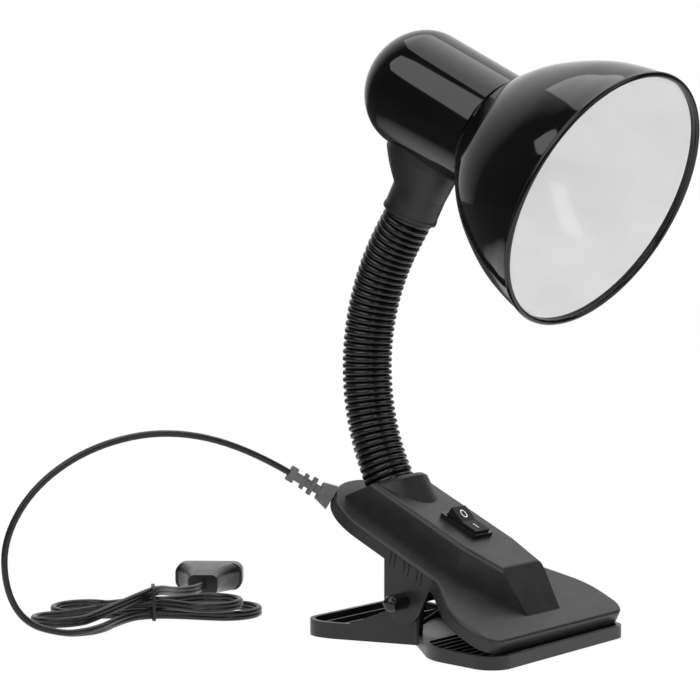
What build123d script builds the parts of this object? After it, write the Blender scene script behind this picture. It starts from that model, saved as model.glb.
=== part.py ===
"""Clip-on reading lamp: spring clip, ribbed neck, bell shade and mains cord. Sizes in mm.

The origin is on the floor under the hinge pin. X points to the jaw mouth, Z up.
"""

import math
import os

from build123d import *

# driving dimensions of the upper jaw
SLOPE = 25.8
PLATE_FRONT = (61, 0, 12)
WALL = 2.2
FLANGE = 6.2
HOUSING_TOP = 13
EAR_OUT = 37
EAR_IN = 34.8
BOSS_IN = 31.9

# driving dimensions of the hinge and the lower jaw
PIN_Z = 21.5
PIN_R = 2.5
PIN_BORE = 2.55
TRAY_FLOOR = 2
TRAY_WALL = 2.3
RIB = 1.2

# driving dimensions of the switch
SWITCH_R = 65
BEZEL_L = 21
BEZEL_W = 15
ROCKER_TILT = 10
TRUNNION_R = 1.2

# driving dimensions of the neck
NECK_BASE = (-35.1, 0, 69.2)
SEAT_TILT = -23
NECK_TILT = -31.3
LINKS = 14
LINK_TURN = 4.85
NECK_END = 34
COLLAR_TILT = 28.5
RIB_PITCH = 3.14
LINK_LONG = 3 * RIB_PITCH
LINK_GAP = 0.9
CREST_R = 11.6
GROOVE_R = 9.9
LINK_BORE = 8
CORE_R = 6
FLEX_R = 2.8

# driving dimensions of the head
MOUTH = (83.6, -4, 198.2)
HEAD_TILT = 27.5
HEAD_YAW = -2.6
RIM_R = 60.5
SHEET = 1.2
SHADE_LONG = 68
CAP_FRONT_R = 27.9
CAP_FRONT = 63.9
CAP_BACK_R = 28.1
CAP_END = 114.2
DOME = 24.4

# driving dimensions of the cord
CORD_R = 2.1
FLOOR_Z = 2.5
ROW = 5.2
PLUG_H = 14
RELIEF_LONG = 23.5

os.makedirs("parts", exist_ok=True)


def turned(degrees):
    """Return the cosine and the sine of an angle."""
    angle = math.radians(degrees)
    return math.cos(angle), math.sin(angle)


def biarc(start, start_way, end, end_way):
    """Join two points with two arcs that meet smoothly; return the two radii."""
    span = end - start
    ways = start_way + end_way
    rest = 2 * (1 - start_way.dot(end_way))
    along = span.dot(ways)
    if rest < 1e-6:
        reach = span.dot(span) / (4 * span.dot(end_way))
    else:
        reach = (-along + math.sqrt(along * along + 2 * rest * span.dot(span) / 2)) / rest
    middle = (start + end + (start_way - end_way) * reach) * 0.5
    first = TangentArc(start, middle, tangent=start_way)
    second = TangentArc(middle, end, tangent=first % 1)
    return [edge.radius for edge in (first, second) if edge.geom_type == GeomType.CIRCLE]


def corner_radii(points):
    """Return the largest fillet radius that each inner corner of a route leaves room for."""
    radii = []
    for before, here, after in zip(points, points[1:], points[2:]):
        come = Vector(here) - Vector(before)
        go = Vector(after) - Vector(here)
        half_turn = math.radians(come.get_angle(go)) / 2
        radii.append(0.45 * min(come.length, go.length) / math.tan(half_turn))
    return radii


# frames
slope_c, slope_s = turned(SLOPE)
plate = Plane(origin=PLATE_FRONT, x_dir=(-slope_c, 0, slope_s), z_dir=(slope_s, 0, slope_c))
plate_side = Plane(origin=PLATE_FRONT, x_dir=(-slope_c, 0, slope_s), z_dir=(0, 1, 0))
plate_up = Axis(PLATE_FRONT, (slope_s, 0, slope_c))

neck_c, neck_s = turned(SEAT_TILT)
neck_way = Vector(neck_s, 0, neck_c)
seat_at = Vector(NECK_BASE) - neck_way * LINK_GAP
seat = Plane(origin=seat_at, x_dir=(neck_c, 0, -neck_s), z_dir=neck_way)
seat_side = Plane(origin=seat_at, x_dir=(neck_c, 0, -neck_s), z_dir=(0, -1, 0))
neck_axis = Axis(seat_at, neck_way)

link_ways = []
link_feet = [Vector(NECK_BASE)]
for number in range(1, LINKS + 1):
    c, s = turned(min(NECK_TILT + LINK_TURN * number, NECK_END))
    link_ways.append(Vector(s, 0, c))
    link_feet.append(link_feet[-1] + Vector(s, 0, c) * LINK_LONG)
neck_top = link_feet[-1]

collar_c, collar_s = turned(COLLAR_TILT)
collar_way = Vector(collar_s, 0, collar_c)
collar = Plane(origin=neck_top, x_dir=(collar_c, 0, -collar_s), z_dir=collar_way)

tilt_c, tilt_s = turned(HEAD_TILT)
yaw_c, yaw_s = turned(HEAD_YAW)
head_way = Vector(tilt_c * yaw_c, tilt_c * yaw_s, -tilt_s)
head_up = Vector(tilt_s * yaw_c, tilt_s * yaw_s, tilt_c)
head_side = Plane(origin=MOUTH, x_dir=head_up, z_dir=head_way.cross(head_up))
head_back = Plane(origin=MOUTH, x_dir=head_up, z_dir=-head_way)
head_axis = Axis(MOUTH, head_way)

# outline of the upper jaw: r up the slope, y across
with BuildSketch() as jaw_outline:
    with BuildLine():
        half = [(0, 55.6), (24, 55.6), (47, 37), (131, 37)]
        other = [(r, -y) for r, y in reversed(half)]
        FilletPolyline(*half, *other, radius=[9.5, 25, 12, 36.5, 36.5, 12, 25, 9.5], close=True)
    make_face()

with BuildSketch() as jaw_inside:
    add(jaw_outline.sketch)
    offset(amount=-WALL, mode=Mode.REPLACE)

# jaw plate with its turned-down flange and rounded top edge
with BuildPart() as jaw_plate:
    with BuildSketch(plate.offset(-FLANGE)):
        add(jaw_outline.sketch)
    extrude(amount=FLANGE)
    fillet(faces().sort_by(plate_up)[-1].edges(), 1.5)
    with BuildSketch(plate.offset(-FLANGE)):
        add(jaw_inside.sketch)
    extrude(amount=FLANGE - WALL, mode=Mode.SUBTRACT)

# hollow of the switch housing and hump, open below
with BuildPart() as housing_hollow:
    with BuildSketch(plate.offset(-3)):
        half = [(15.5, 11), (50, 18.1), (118, 18.1)]
        Polygon(*[(r, -y) for r, y in half], *reversed(half), align=None)
    extrude(amount=HOUSING_TOP + 3)
    with BuildSketch(plate_side):
        Polygon((15, -3), (15, 0), (31.5, 10.8), (118, 10.8), (118, -3), align=None)
    extrude(amount=30, both=True, mode=Mode.INTERSECT)
    with BuildSketch(seat_side):
        Polygon((0, 0), (15, 0), (18.6, -34), (0, -34), align=None)
    revolve(axis=neck_axis)
    with BuildSketch(plate.offset(-3)):
        Rectangle(400, 400)
    extrude(amount=60, mode=Mode.INTERSECT)
    with BuildSketch(seat.offset(-2.4)):
        Rectangle(200, 200)
    extrude(amount=80, mode=Mode.SUBTRACT)
    with BuildSketch(plate.offset(-3)):
        with Locations((36, -8.5), (36, 8.5), (92, -14.5), (92, 14.5)):
            Circle(3)
    extrude(amount=20, mode=Mode.SUBTRACT)

# strain relief's place on the round end of the flange
RELIEF_TURN = 36
TONGUE_DROP = -0.2
relief_c, relief_s = turned(RELIEF_TURN)
relief_at = plate.from_local_coords(Vector(94.5 + 36.5 * relief_c, 0.5 + 36.5 * relief_s, -4))
relief_way = Vector(-0.64, -0.62, 0.54).normalized()
relief = Plane(origin=relief_at, x_dir=relief_way.cross(Vector(0, 0, 1)), z_dir=relief_way)

with BuildPart() as upper_casing:
    # switch housing with its sloped front
    with BuildSketch(plate):
        half = [(11.4, 12.9), (50, 20.6), (122, 20.6)]
        Polygon(*[(r, -y) for r, y in half], *reversed(half), align=None)
    extrude(amount=HOUSING_TOP, taper=3)
    with BuildSketch(plate_side):
        Polygon((11.4, 0), (31.4, HOUSING_TOP), (122, HOUSING_TOP), (122, 0), align=None)
    extrude(amount=40, both=True, mode=Mode.INTERSECT)
    fillet(faces().sort_by(plate_up)[-1].edges(), 2.6)
    # hump under the neck, cut level with the seat
    with BuildSketch(seat_side):
        Polygon((0, 0), (15.9, 0), (17.5, -1.6), (21.2, -34), (0, -34), align=None)
    revolve(axis=neck_axis)
    with BuildSketch(plate):
        Rectangle(400, 400)
    extrude(amount=60, mode=Mode.INTERSECT)
    with BuildSketch(seat):
        Rectangle(200, 200)
    extrude(amount=80, mode=Mode.SUBTRACT)
    # jaw plate, hollowed under the housing and cleared round the neck
    add(jaw_plate.part)
    add(housing_hollow.part, mode=Mode.SUBTRACT)
    with BuildSketch(seat):
        Circle(13.6)
    extrude(amount=14, mode=Mode.SUBTRACT)
    # hinge ears with inner bosses
    for side in (-1, 1):
        with BuildSketch(Plane.XZ.offset(-side * EAR_IN)):
            Polygon(
                (-10.4, PIN_Z), (-10.4, 44), (16.5, 31.4), (14.4, 27.4), (8.9, 16.1), align=None
            )
            with Locations((0, PIN_Z)):
                Circle(10.4)
        extrude(amount=-side * (EAR_OUT - EAR_IN))
        with BuildSketch(Plane.XZ.offset(-side * BOSS_IN)):
            with Locations((0, PIN_Z)):
                Circle(5.5)
        extrude(amount=-side * (EAR_IN - BOSS_IN))
    with BuildSketch(Plane.XZ):
        with Locations((0, PIN_Z)):
            Circle(PIN_BORE)
    extrude(amount=60, both=True, mode=Mode.SUBTRACT)
    # switch cut-out, neck hole, screw pilots and the strain relief's hole
    with BuildSketch(plate.offset(HOUSING_TOP - 4)):
        with Locations((SWITCH_R, 0)):
            Rectangle(18.8, 12.8)
    extrude(amount=6, mode=Mode.SUBTRACT)
    with BuildSketch(seat.offset(-4)):
        Circle(CORE_R + 0.1)
    extrude(amount=6, mode=Mode.SUBTRACT)
    with BuildSketch(plate.offset(-3)):
        with Locations((36, -8.5), (36, 8.5), (92, -14.5), (92, 14.5)):
            Circle(1.32)
    extrude(amount=12.2, mode=Mode.SUBTRACT)
    with BuildSketch(relief.offset(-5)):
        with Locations((0, TONGUE_DROP)):
            Rectangle(5.2, 3)
    extrude(amount=6, mode=Mode.SUBTRACT)

with BuildPart() as bottom_cover:
    with BuildSketch(plate.offset(-4.1)):
        Polygon((12.8, -15.5), (117.5, -22.5), (117.5, 22.5), (12.8, 15.5), align=None)
        fillet(vertices(), 6)
    extrude(amount=1.85)
    with BuildSketch(plate.offset(-4.2)):
        add(jaw_inside.sketch)
        offset(amount=-0.4, mode=Mode.REPLACE)
    extrude(amount=3, mode=Mode.INTERSECT)
    with BuildSketch(plate.offset(-5)):
        with Locations((36, -8.5), (36, 8.5), (92, -14.5), (92, 14.5)):
            Circle(1.5)
    extrude(amount=4, mode=Mode.SUBTRACT)

with BuildPart() as cover_screws:
    with BuildSketch(plate.offset(-5.7)):
        with Locations((36, -8.5), (36, 8.5), (92, -14.5), (92, 14.5)):
            Circle(2.6)
    extrude(amount=1.6)
    with BuildSketch(plate.offset(-4.1)):
        with Locations((36, -8.5), (36, 8.5), (92, -14.5), (92, 14.5)):
            Circle(1.3)
    extrude(amount=12)
    with BuildSketch(plate.offset(-5.7)):
        with Locations((36, -8.5), (36, 8.5), (92, -14.5), (92, 14.5)):
            Rectangle(3.2, 0.7)
            Rectangle(0.7, 3.2)
    extrude(amount=0.9, mode=Mode.SUBTRACT)

# lower jaw: a tray flat on the floor, waisted at the hinge
with BuildSketch() as tray_outline:
    with BuildLine():
        half = [(-59, 37.8), (-42, 37.8), (-0.5, 25.9), (24, 50.2), (62.3, 55.6)]
        other = [(x, -y) for x, y in reversed(half)]
        FilletPolyline(*half, *other, radius=[12, 30, 3, 24, 10, 10, 24, 3, 30, 12], close=True)
    make_face()

with BuildSketch() as tray_inside:
    add(tray_outline.sketch)
    offset(amount=-TRAY_WALL, mode=Mode.REPLACE)

with BuildPart() as tray_ribs:
    with BuildSketch(Plane.XY.offset(TRAY_FLOOR - 0.5)):
        with GridLocations(5, 0, 9, 1):
            with Locations((34, 0)):
                Rectangle(RIB, 120)
    extrude(amount=3.7)
    with BuildSketch(Plane.XY.offset(TRAY_FLOOR - 0.5)):
        with GridLocations(10, 0, 3, 1):
            with Locations((-41, 0)):
                Rectangle(RIB, 120)
    extrude(amount=4.2)
    with BuildSketch():
        add(tray_outline.sketch)
        offset(amount=-TRAY_WALL / 2, mode=Mode.REPLACE)
    extrude(amount=30, mode=Mode.INTERSECT)

with BuildPart() as lower_jaw:
    with BuildSketch():
        add(tray_outline.sketch)
    extrude(amount=32)
    with BuildSketch(Plane.XZ):
        Polygon(
            (-60, 0), (-60, 7.4), (-32, 7.4), (-13, 15.5), (-7.4, PIN_Z),
            (7.2, PIN_Z - 2), (3.5, 5.7), (63, 5.7), (63, 0), align=None,
        )
        with Locations((0, PIN_Z)):
            Circle(7.5)
    extrude(amount=60, both=True, mode=Mode.INTERSECT)
    with BuildSketch(Plane.XY.offset(TRAY_FLOOR)):
        add(tray_inside.sketch)
    extrude(amount=40, mode=Mode.SUBTRACT)
    add(tray_ribs.part)
    with BuildSketch(Plane.XZ):
        with Locations((0, PIN_Z)):
            Circle(PIN_BORE)
    extrude(amount=60, both=True, mode=Mode.SUBTRACT)

# hinge pin along Y with a rounded head on the near side, and a cap pushed on its far end
with BuildPart() as hinge_pin:
    with BuildSketch(Plane.XZ.offset(-40.5)):
        with Locations((0, PIN_Z)):
            Circle(PIN_R)
    extrude(amount=40.5 + EAR_OUT + 0.05)
    with BuildSketch(Plane.XZ.offset(EAR_OUT + 0.05)):
        with Locations((0, PIN_Z)):
            Circle(3.7)
    extrude(amount=11.6)
    fillet(faces().sort_by(Axis.Y)[0].edges(), 3.1)

with BuildPart() as pin_cap:
    with BuildSketch(Plane.XZ.offset(-42)):
        with Locations((0, PIN_Z)):
            Circle(4.2)
    extrude(amount=42 - EAR_OUT - 0.05)
    fillet(faces().sort_by(Axis.Y)[-1].edges(), 1.5)
    with BuildSketch(Plane.XZ.offset(-40.55)):
        with Locations((0, PIN_Z)):
            Circle(PIN_R + 0.01)
    extrude(amount=10, mode=Mode.SUBTRACT)

# torsion spring: curls round the pin, one leg to the cover and one to the tray
SPRING_R = 6.5
SPRING_WIRE = 1.1
SPRING_FROM = 53
SPRING_TURN = 1550
SPRING_STEPS = 17
SPRING_PITCH = 2.7
with BuildPart() as torsion_spring:
    with BuildLine() as spring_path:
        places = []
        ways = []
        rise = -SPRING_PITCH / (2 * math.pi * SPRING_R)
        for step in range(SPRING_STEPS + 1):
            angle = SPRING_FROM - SPRING_TURN * step / SPRING_STEPS
            c, s = turned(angle)
            across = 5.8 - SPRING_PITCH * (SPRING_FROM - angle) / 360
            places.append(Vector(SPRING_R * c, across, PIN_Z + SPRING_R * s))
            ways.append(Vector(s, rise, -c).normalized())
        Line(places[0] - ways[0] * 31, places[0])
        for a, way_a, b, way_b in zip(places, ways, places[1:], ways[1:]):
            biarc(a, way_a, b, way_b)
        Line(places[-1], places[-1] + ways[-1] * 21)
    with BuildSketch(Plane(origin=spring_path.line @ 0, z_dir=spring_path.line % 0)):
        Circle(SPRING_WIRE)
    sweep()

# rocker switch
with BuildPart() as switch_body:
    with BuildSketch(plate.offset(2.5)):
        with Locations((SWITCH_R, 0)):
            Rectangle(18.6, 12.6)
    extrude(amount=HOUSING_TOP + 0.5 - 2.5)
    with BuildSketch(plate.offset(HOUSING_TOP + 0.02)):
        with Locations((SWITCH_R, 0)):
            RectangleRounded(BEZEL_L, BEZEL_W, 1)
    extrude(amount=2)
    with BuildSketch(plate.offset(7.4)):
        with Locations((SWITCH_R, 0)):
            Rectangle(18, 11.4)
    extrude(amount=20, mode=Mode.SUBTRACT)
    with BuildSketch(plate_side):
        with Locations((SWITCH_R, HOUSING_TOP)):
            Circle(TRUNNION_R + 0.05)
    extrude(amount=6.8, both=True, mode=Mode.SUBTRACT)

with BuildPart() as rocker:
    with BuildSketch(plate_side):
        with Locations(Location((SWITCH_R, HOUSING_TOP), ROCKER_TILT)):
            Polygon(
                (-8.4, -1.5), (-8.4, 4.6), (0, 3.1), (8.4, 4.6), (8.4, -1.5), (0, -4.5), align=None
            )
    extrude(amount=5.4, both=True)
    with BuildSketch(plate_side):
        with Locations((SWITCH_R, HOUSING_TOP)):
            Circle(TRUNNION_R)
    extrude(amount=6.2, both=True)

with BuildPart() as switch_terminals:
    with BuildSketch(plate.offset(-1.9)):
        with Locations((SWITCH_R - 4.5, 0), (SWITCH_R + 4.5, 0)):
            Rectangle(0.8, 4.8)
    extrude(amount=4.38)

# strain relief: spigot through the flange, tapered block, two fins and an end block
with BuildPart() as strain_relief:
    with BuildSketch(relief.offset(-3.4)):
        with Locations((0, TONGUE_DROP)):
            Rectangle(5, 2.8)
    extrude(amount=4.4)
    with BuildSketch(relief.offset(0.5)):
        RectangleRounded(10, 11.8, 1.5)
    with BuildSketch(relief.offset(7)):
        RectangleRounded(7.4, 8.4, 1.5)
    loft()
    with BuildSketch(relief.offset(6.5)):
        RectangleRounded(6.4, 4, 1.2)
    extrude(amount=RELIEF_LONG - 6.5)
    for away, tall, long in ((10.2, 8.7, 1.6), (14.6, 7.6, 1.5), (20.2, 7.2, 3.3)):
        with BuildSketch(relief.offset(away)):
            RectangleRounded(tall * 0.9, tall, 1.2)
        extrude(amount=long)

# ribbed neck: links of three ribs, each turning on the one below
neck_links = []
for number in range(LINKS):
    foot = link_feet[number]
    way = link_ways[number]
    with BuildPart() as link:
        with BuildSketch(Plane(origin=foot, x_dir=(way.Z, 0, -way.X), z_dir=(0, -1, 0))):
            with BuildLine():
                outline = [(LINK_BORE, LINK_GAP)]
                for rib in range(3):
                    middle = RIB_PITCH * (rib + 0.5)
                    foot_low = LINK_GAP if rib == 0 else middle - 1.0
                    foot_high = LINK_LONG - LINK_GAP if rib == 2 else middle + 1.0
                    outline.append((CREST_R - 0.4 if rib == 0 else GROOVE_R, foot_low))
                    outline.append((CREST_R, middle - 0.45))
                    outline.append((CREST_R, middle + 0.45))
                    outline.append((CREST_R - 0.4 if rib == 2 else GROOVE_R, foot_high))
                outline.append((LINK_BORE, LINK_LONG - LINK_GAP))
                Polyline(*outline, close=True)
            make_face()
        revolve(axis=Axis(foot, way))
    neck_links.append(link.part)

with BuildPart() as neck_core:
    with BuildLine() as core_path:
        Spline(*link_feet[::2], tangents=(neck_way, collar_way))
    with BuildSketch(Plane(origin=core_path.line @ 0, z_dir=core_path.line % 0)):
        Circle(CORE_R)
        Circle(4, mode=Mode.SUBTRACT)
    sweep()

with BuildPart() as lamp_flex:
    with BuildLine() as flex_path:
        bend = Spline(*link_feet[::2], tangents=(neck_way, collar_way))
        Line(bend @ 0 - (bend % 0) * 10.5, bend @ 0)
        Line(bend @ 1, bend @ 1 + (bend % 1) * 33)
    with BuildSketch(Plane(origin=bend @ 0 - (bend % 0) * 10.5, z_dir=bend % 0)):
        Circle(FLEX_R)
    sweep()

# ferrules that hold the ends of the steel core, and their nuts
with BuildPart() as neck_base_ferrule:
    with BuildSketch(seat.offset(-7.4)):
        Circle(CORE_R)
    extrude(amount=7.4)
    with BuildSketch(seat):
        Circle(6.9)
    extrude(amount=4.4)
    with BuildSketch(seat.offset(LINK_GAP - 0.4)):
        Circle(CORE_R + 0.3)
    extrude(amount=8, mode=Mode.SUBTRACT)
    with BuildSketch(seat.offset(-9)):
        Circle(4.2)
    extrude(amount=20, mode=Mode.SUBTRACT)

with BuildPart() as neck_base_nut:
    with BuildSketch(seat.offset(-5.4)):
        RegularPolygon(8, 6, major_radius=False, rotation=30)
        Circle(CORE_R + 0.02, mode=Mode.SUBTRACT)
    extrude(amount=2.9)

with BuildPart() as neck_head_ferrule:
    with BuildSketch(collar.offset(LINK_GAP)):
        Circle(CORE_R)
    extrude(amount=21.2)
    with BuildSketch(collar.offset(LINK_GAP)):
        Circle(6.9)
    extrude(amount=-4.4)
    with BuildSketch(collar.offset(0.4)):
        Circle(CORE_R + 0.3)
    extrude(amount=-8, mode=Mode.SUBTRACT)
    with BuildSketch(collar.offset(-8)):
        Circle(4.2)
    extrude(amount=40, mode=Mode.SUBTRACT)

with BuildPart() as neck_head_nut:
    with BuildSketch(collar.offset(17.05)):
        RegularPolygon(8, 6, major_radius=False)
        Circle(CORE_R + 0.02, mode=Mode.SUBTRACT)
    extrude(amount=4)

# solid form of the holder cap, used to trim the saddle
with BuildPart() as cap_form:
    with BuildSketch(head_side):
        with BuildLine():
            outer = EllipticalCenterArc((0, CAP_END), CAP_BACK_R, DOME, arc_size=88)
            Polyline(
                outer @ 1, (0, (outer @ 1).Y), (0, CAP_FRONT), (CAP_FRONT_R, CAP_FRONT), outer @ 0
            )
        make_face()
    revolve(axis=head_axis)

# collar on the neck, widening into a saddle under the cap
SADDLE_SCREWS = [(-17, -5), (-17, 5)]
with BuildPart() as neck_socket:
    with BuildSketch(collar.offset(13)):
        Circle(12.8)
    with BuildSketch(collar.offset(18)):
        with Locations((-2.5, 0)):
            Ellipse(16, 13.6)
    with BuildSketch(collar.offset(26)):
        with Locations((-5.5, 0)):
            Ellipse(19.5, 15)
    loft()
    with BuildSketch(collar.offset(26)):
        with Locations((-5.5, 0)):
            Ellipse(19.5, 15)
    extrude(amount=10)
    add(cap_form.part, mode=Mode.SUBTRACT)
    with BuildSketch(collar.offset(LINK_GAP)):
        Circle(13.2)
    extrude(amount=1.6)
    with BuildSketch(collar.offset(LINK_GAP)):
        Circle(12.8)
    extrude(amount=12.5)
    with BuildSketch(collar):
        Circle(CORE_R + 0.05)
    extrude(amount=40, mode=Mode.SUBTRACT)
    with BuildSketch(collar.offset(17)):
        Circle(9.6)
    extrude(amount=30, mode=Mode.SUBTRACT)
    with BuildSketch(collar.offset(20)):
        with Locations(*SADDLE_SCREWS):
            Circle(1.52)
    extrude(amount=20, mode=Mode.SUBTRACT)

with BuildPart() as holder_cap:
    add(cap_form.part)
    with BuildSketch(head_side):
        with BuildLine():
            thin = CAP_BACK_R - SHEET
            inner = EllipticalCenterArc((0, CAP_END), thin, DOME - SHEET, arc_size=88)
            Polyline(
                inner @ 1, (0, (inner @ 1).Y), (0, CAP_FRONT - 1), (CAP_FRONT_R + 0.4, CAP_FRONT - 1),
                (CAP_FRONT_R - SHEET, CAP_FRONT + 1.3), inner @ 0,
            )
        make_face()
    revolve(axis=head_axis, mode=Mode.SUBTRACT)
    with BuildSketch(collar.offset(20)):
        Circle(4.5)
        with Locations(*SADDLE_SCREWS):
            Circle(1.7)
    extrude(amount=22, mode=Mode.SUBTRACT)

# bell shade: spun sheet with a rolled rim and a flat back
with BuildPart() as shade_bell:
    with BuildSketch(head_side):
        with BuildLine():
            outer = Spline(
                (RIM_R - 0.7, 1.2), (58.6, 10), (55.6, 22), (50.5, 34), (43.7, 46),
                (35.7, 56), (28.4, 63), (22.6, SHADE_LONG),
            )
            Polyline(
                outer @ 1, (18.8, SHADE_LONG), (18.8, SHADE_LONG - SHEET),
                (22, SHADE_LONG - SHEET),
            )
            inner = Spline(
                (22, SHADE_LONG - SHEET), (27.5, 62.1), (34.8, 55.2), (42.7, 45.3),
                (49.4, 33.5), (54.5, 21.6), (57.4, 9.8), (RIM_R - 1.9, 1.2),
            )
            Line(inner @ 1, outer @ 0)
        make_face()
        with Locations((RIM_R - 1.3, 0.6)):
            Circle(1.3)
    revolve(axis=head_axis)

# lampholder for a large screw cap, clamped to the shade by a ring
with BuildPart() as lampholder:
    with BuildSketch(head_side):
        Polygon(
            (0, 84.5), (13.8, 84.5), (13.8, 59), (18.3, 59), (18.3, SHADE_LONG + 0.1),
            (20.9, SHADE_LONG + 0.1), (20.9, 71), (18.3, 71), (18.3, 92), (14, 98), (0, 98),
            align=None,
        )
    revolve(axis=head_axis)

with BuildPart() as thread_shell:
    with BuildSketch(head_side):
        Polygon((13.2, 60), (13.75, 60), (13.75, 82), (13.2, 82), align=None)
    revolve(axis=head_axis)

with BuildPart() as centre_contact:
    with BuildSketch(head_side):
        Polygon(
            (0, 82.2), (3.2, 82.2), (5, 83.6), (5, 84.45), (0, 84.45), align=None
        )
    revolve(axis=head_axis)

with BuildPart() as holder_terminals:
    with BuildSketch(head_back.offset(98.05)):
        with Locations((0, -7), (0, 7)):
            Circle(2.4)
    extrude(amount=3)
    with BuildSketch(head_back.offset(99.8)):
        with Locations((0, -7), (0, 7)):
            Rectangle(5, 0.8)
    extrude(amount=2, mode=Mode.SUBTRACT)

with BuildPart() as shade_ring:
    with BuildSketch(head_side):
        Polygon((18.35, 62), (21.3, 62.6), (21.3, 66.7), (18.35, 66.7), align=None)
    revolve(axis=head_axis)

SCREW_HEAD = 28.9
with BuildPart() as saddle_screws:
    with BuildSketch(collar.offset(SCREW_HEAD - 7)):
        with Locations(*SADDLE_SCREWS):
            Circle(1.5)
    extrude(amount=7)
    with BuildSketch(collar.offset(SCREW_HEAD)):
        with Locations(*SADDLE_SCREWS):
            Circle(2.4)
    extrude(amount=1.4)

# free lead: out of the relief, over in an arch and down to the hank
TIE = Vector(-139.3, -51.2, 0)
TIE_TURN = 46.5
tie_c, tie_s = turned(TIE_TURN)
tie_across = Vector(-tie_s, tie_c, 0)
relief_end = relief_at + relief_way * RELIEF_LONG
first_pass = TIE - tie_across * 3.1 + Vector(0, 0, FLOOR_Z + 0.6)
lead_points = [
    tuple(relief_end), tuple(relief_end + relief_way * 24),
    (-104.2, -79.0, 95.5), (-125.9, -105.1, 88.5), (-142.6, -125.1, 71.0),
    (-151.6, -135.8, 47.0), (-151.2, -135.4, 24.0), (-145.6, -128.7, 8.2),
    (-134.8, -115.5, 2.7), (-130.8, -104.0, FLOOR_Z), (-132.3, -91.5, FLOOR_Z),
    (-137.8, -80.0, FLOOR_Z), (-141.5, -67.0, 2.8), tuple(first_pass),
]
lead_radii = corner_radii(lead_points)
with BuildPart() as cord_lead:
    with BuildLine() as lead_path:
        FilletPolyline(*lead_points, radius=lead_radii)
    with BuildSketch(Plane(origin=lead_path.line @ 0, z_dir=lead_path.line % 0)):
        Circle(CORD_R)
    sweep()
lead_long = lead_path.wire().length
lead_share = cord_lead.part.volume / (math.pi * CORD_R**2 * lead_long)
print("lead length", round(lead_long, 1), "volume share", round(lead_share, 4))
print("lead radii", [round(r, 1) for r in lead_radii])

# hank: loops to the right and left of the tie, stacked in rows, then the run to the plug
PLUG_AT = Vector(-161, 7.7, PLUG_H / 2 + 0.2)
PLUG_TURN = 126
plug_c, plug_s = turned(PLUG_TURN)
plug_way = Vector(plug_c, plug_s, 0)
low = FLOOR_Z + 0.6
half_row = ROW / 2
# place of each pass through the tie: across and up
slots = [
    (-3.1, low), (half_row, low), (half_row, low + ROW), (-half_row, low + ROW),
    (0, low + 2 * ROW),
]
# turn of each loop's axis, distance of its round end, radius there, side it goes out on, height
# and the lift where it comes back
loops = [
    (56, 36, 16, -1, FLOOR_Z, 0),
    (196, 38, 15, 1, FLOOR_Z, 0),
    (36, 27, 14.7, 1, low + ROW, 0),
    (253, 47, 14.8, -1, FLOOR_Z + 1.4, 2.5),
]
TAIL_TURN = 118


def toward(degrees):
    """Return the level direction at an angle from X."""
    return Vector(*turned(degrees), 0)


hank_places = [first_pass]
hank_ways = [(first_pass - Vector(*lead_points[-2])).normalized()]
for index, (turn, away, round_r, side, height, lift) in enumerate(loops):
    spread = math.degrees(math.asin(round_r / away)) * side
    strand = math.sqrt(away**2 - round_r**2)
    level = TIE + Vector(0, 0, height)
    hank_places.append(level + toward(turn + spread) * strand)
    hank_ways.append(toward(turn + spread))
    hank_places.append(level + toward(turn) * (away + round_r))
    hank_ways.append(toward(turn - 90 * side))
    hank_places.append(level + toward(turn - spread) * strand + Vector(0, 0, lift))
    hank_ways.append(toward(turn - spread + 180))
    across, row_z = slots[index + 1]
    hank_places.append(TIE + tie_across * across + Vector(0, 0, row_z))
    going = toward(TAIL_TURN)
    if index + 1 < len(loops):
        turn, away, round_r, side = loops[index + 1][:4]
        going = toward(turn + math.degrees(math.asin(round_r / away)) * side)
    # the longer strand takes more of the turn at the tie
    going *= math.sqrt(strand / math.sqrt(away**2 - round_r**2))
    hank_ways.append((hank_ways[-1] + going).normalized())
hank_places.append((hank_places[-1] + PLUG_AT) * 0.5 + Vector(-1, -1, -2))
hank_ways.append(Vector(-0.37, 0.92, -0.1).normalized())
hank_places.append(PLUG_AT)
hank_ways.append(plug_way)

with BuildPart() as cord_hank:
    hank_radii = []
    with BuildLine() as hank_path:
        for a, way_a, b, way_b in zip(hank_places, hank_ways, hank_places[1:], hank_ways[1:]):
            hank_radii += biarc(a, way_a, b, way_b)
    with BuildSketch(Plane(origin=hank_path.line @ 0, z_dir=hank_path.line % 0)):
        Circle(CORD_R)
    sweep()
hank_long = hank_path.wire().length
hank_share = cord_hank.part.volume / (math.pi * CORD_R**2 * hank_long)
print("hank length", round(hank_long, 1), "volume share", round(hank_share, 4))
print("hank radii", [round(r, 1) for r in hank_radii])
hank_wire = hank_path.wire()
samples = [hank_wire @ (i / 900) for i in range(901)]
step_long = hank_long / 900
near = 1000
lowest = min(place.Z for place in samples) - CORD_R
for i, place in enumerate(samples):
    for j in range(i + int(25 / step_long), 901):
        gap = (place - samples[j]).length - 2 * CORD_R
        if gap < near:
            near = gap
            near_at = (i / 900, j / 900)
lead_wire = lead_path.wire()
crossing = 1000
for i in range(0, 381):
    place = lead_wire @ (i / 400)
    for j, other in enumerate(samples[30:]):
        gap = (place - other).length - 2 * CORD_R
        if gap < crossing:
            crossing = gap
            crossing_at = (i / 400, (j + 30) / 900, place, other)
print("lead to hank gap", round(crossing, 2), crossing_at)
print("hank gap", round(near, 2), "at", near_at, "lowest", round(lowest, 2))

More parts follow.
